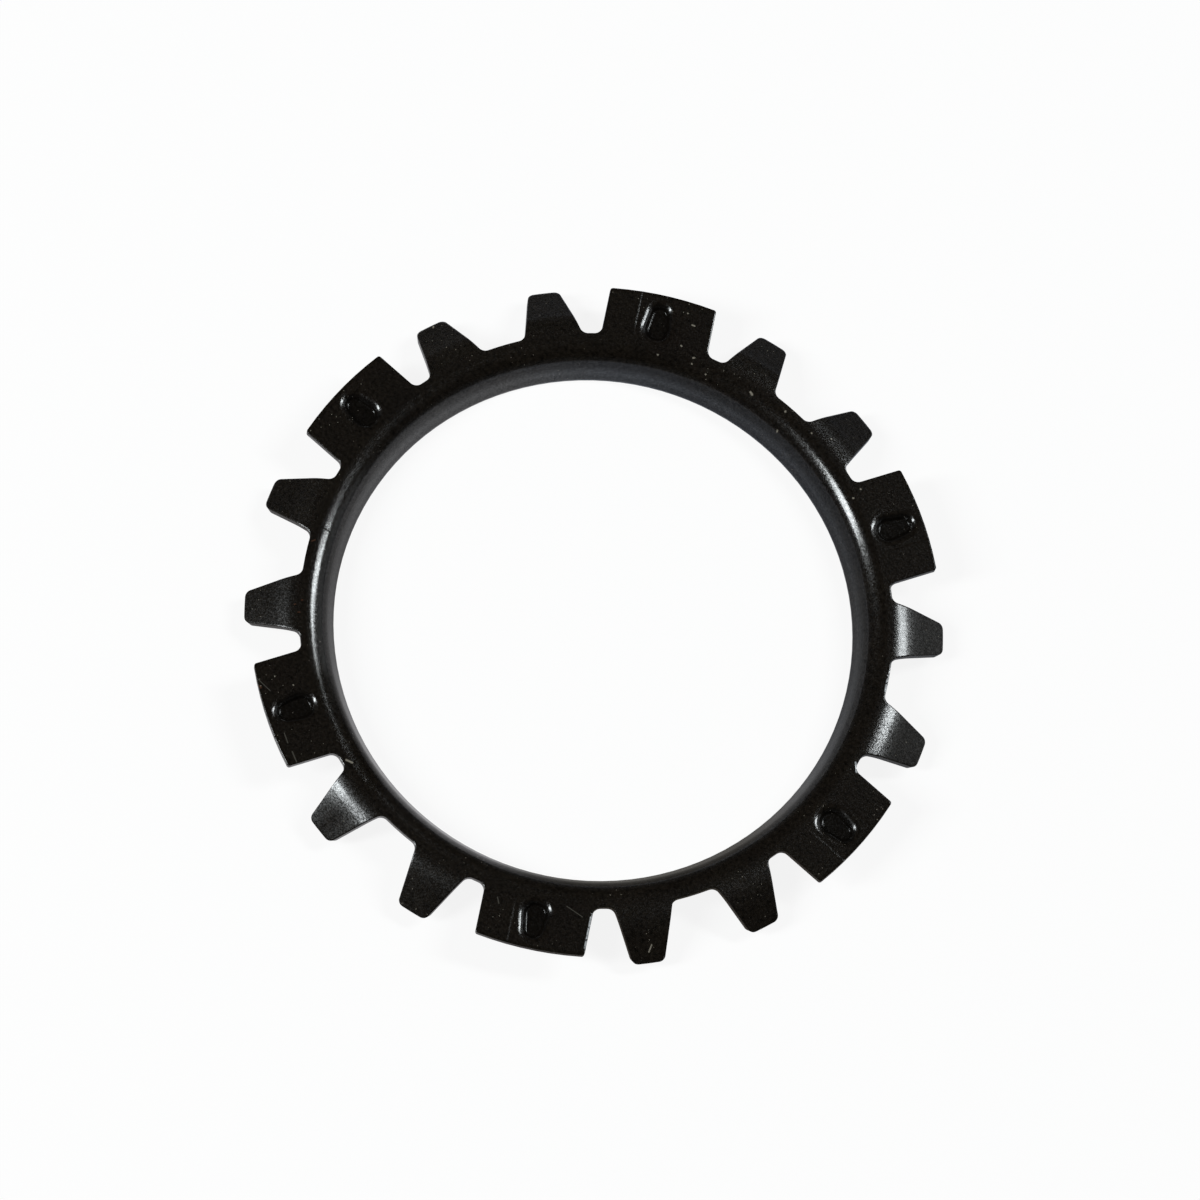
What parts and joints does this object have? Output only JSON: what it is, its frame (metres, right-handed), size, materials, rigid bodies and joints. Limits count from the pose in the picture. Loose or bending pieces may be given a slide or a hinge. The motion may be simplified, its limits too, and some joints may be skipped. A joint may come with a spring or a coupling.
{
  "type": "toothed lock washer",
  "caption": "Toothed lock washer pressed from black spring steel, with a rolled collar around the bore, dimpled flat tabs and fingers bent down to bite.",
  "frame": {"origin": "on the axis of the bore, in the plane of the collar's rim, at the bottom of the washer", "axes": "+Z along the axis of the bore towards the flat face, +X along the middle of one flat tab"},
  "size_m": [0.06, 0.0602, 0.0039],
  "materials": {
    "blackened_spring_steel": "black oxide over spring steel, oiled, satin to semi-gloss, finely speckled"
  },
  "bodies": {
    "root": {"lock_washer": "blackened_spring_steel"}
  },
  "joints": []
}
